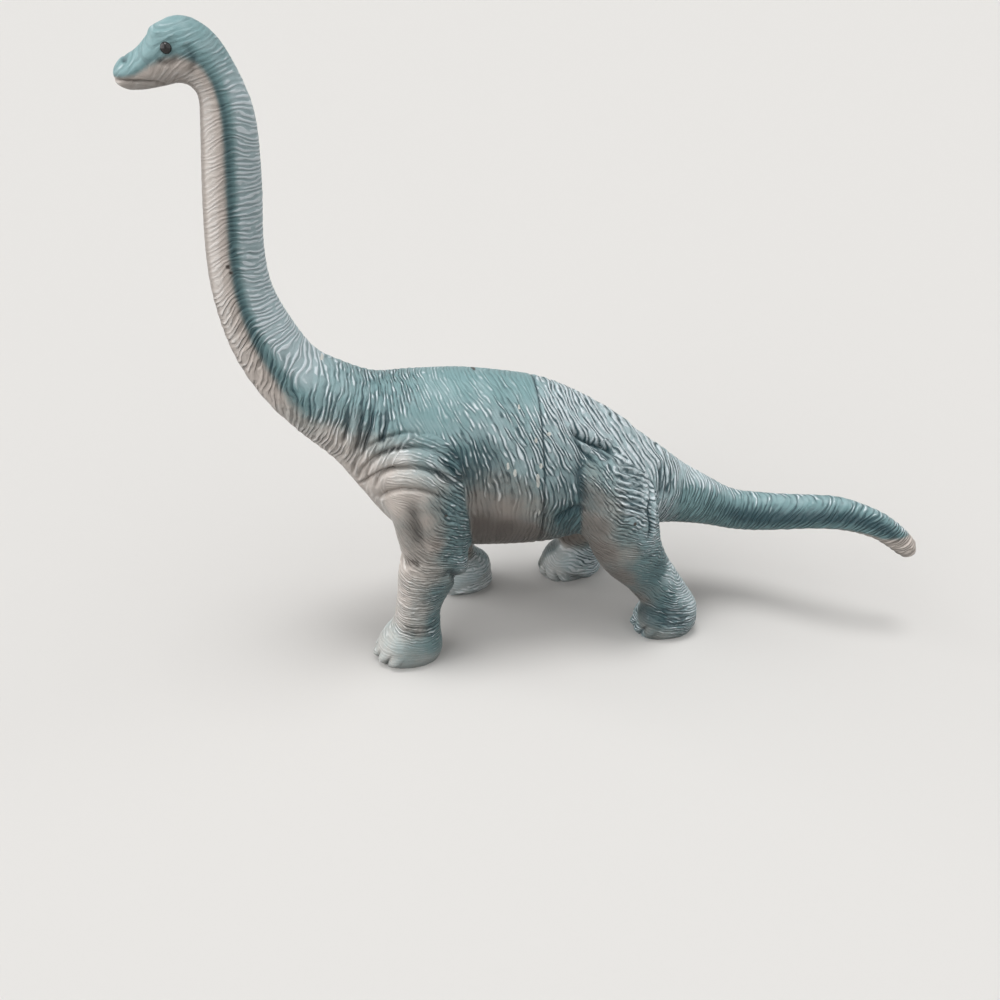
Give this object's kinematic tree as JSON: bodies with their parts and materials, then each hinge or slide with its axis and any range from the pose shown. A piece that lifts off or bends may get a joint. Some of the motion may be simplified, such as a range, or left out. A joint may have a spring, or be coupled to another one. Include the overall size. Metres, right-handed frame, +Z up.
{
  "type": "toy dinosaur figure",
  "caption": "Standing long-necked sauropod toy in moulded vinyl: raised neck, hollow body split at the waist, tapering tail swung to its left and columnar legs with flat soles.",
  "frame": {"origin": "middle of the figure's box, on the plane of the four soles", "axes": "+Z up, -X the way the animal faces, +X towards its tail, -Y its left side"},
  "size_m": [0.306, 0.081, 0.2569],
  "materials": {
    "body_vinyl": "soft vinyl moulded with skin wrinkles, blue-grey paint over a pinkish grey moulding colour, dry-brushed pale on the ridges, satin",
    "leg_vinyl": "soft vinyl moulded with ring wrinkles, pinkish grey with a thin blue-grey paint on the shins and feet, satin"
  },
  "bodies": {
    "root": {"neck_and_head": "body_vinyl", "front_body_shell": "body_vinyl", "rear_body_shell": "body_vinyl", "tail": "body_vinyl", "fore_leg_left": "leg_vinyl", "fore_leg_right": "leg_vinyl", "hind_leg_left": "leg_vinyl", "hind_leg_right": "leg_vinyl"}
  },
  "joints": []
}
